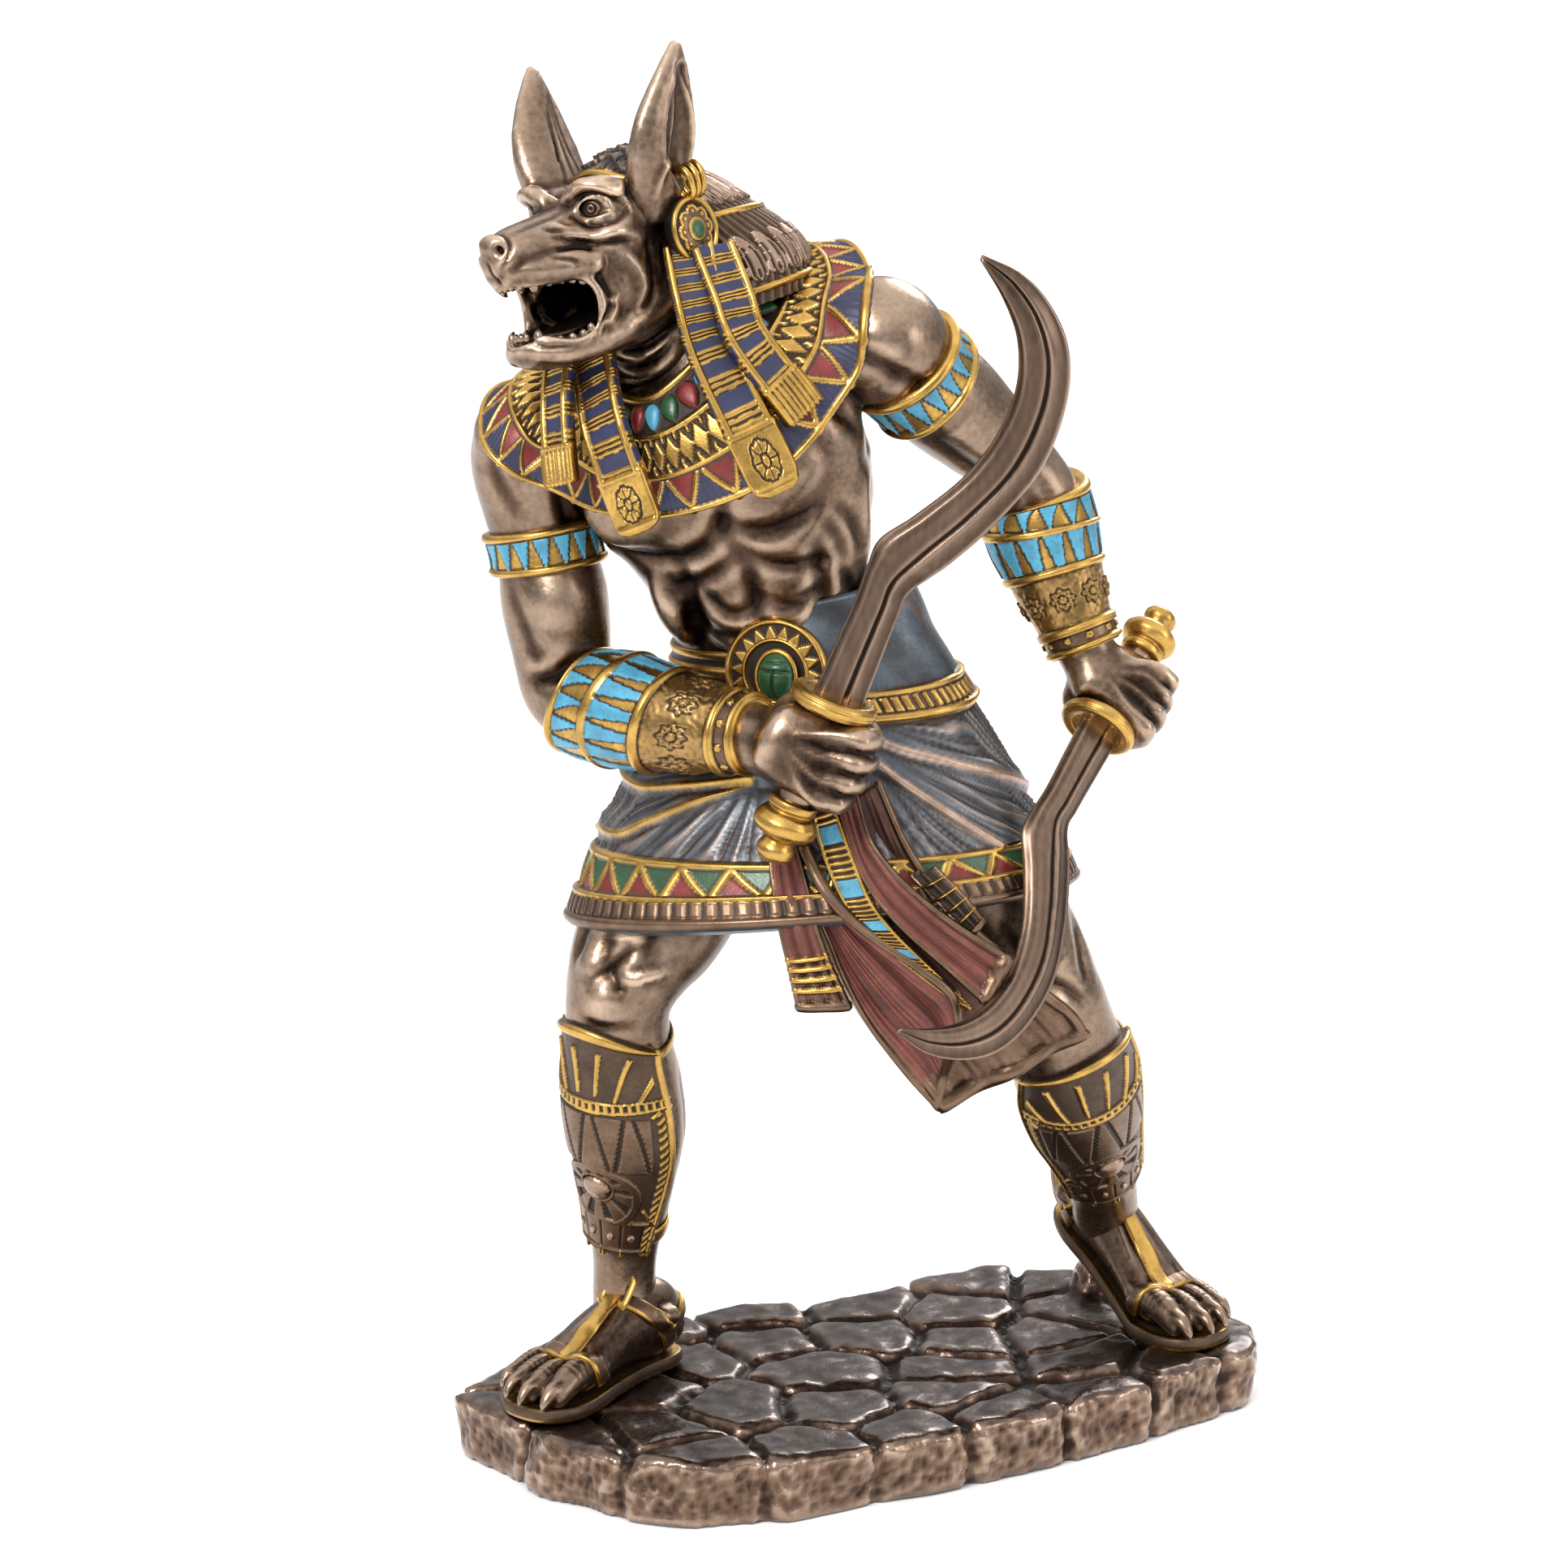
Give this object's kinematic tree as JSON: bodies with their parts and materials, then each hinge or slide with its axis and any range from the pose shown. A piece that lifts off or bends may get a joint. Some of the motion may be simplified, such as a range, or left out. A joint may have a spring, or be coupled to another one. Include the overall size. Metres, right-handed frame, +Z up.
{
  "type": "jackal-headed guardian figurine",
  "caption": "Striding jackal-headed guardian figurine on a cobbled base, snarling, with a broad collar, kilt and greaves and a sickle sword in each fist.",
  "frame": {"origin": "centre of the base's underside, on the floor", "axes": "+Z up, X along the base's long side, with the figure's front towards -Y and its left towards +X"},
  "size_m": [0.162, 0.0988, 0.2802],
  "materials": {
    "bronze": "bronze finish over cast resin, brown with paler copper on what stands proud",
    "gold": "antique gold trim, darkened in its recesses",
    "blade": "satin brown bronze with a worn bevel",
    "cobbles": "dark glossy brown bronze, paler on the outer stones",
    "kilt_cloth": "slate grey wash over bronze",
    "apron_cloth": "brownish red wash over bronze"
  },
  "bodies": {
    "root": {"base": "cobbles", "figure": "bronze", "right_sword": "blade", "left_sword": "blade"}
  },
  "joints": []
}
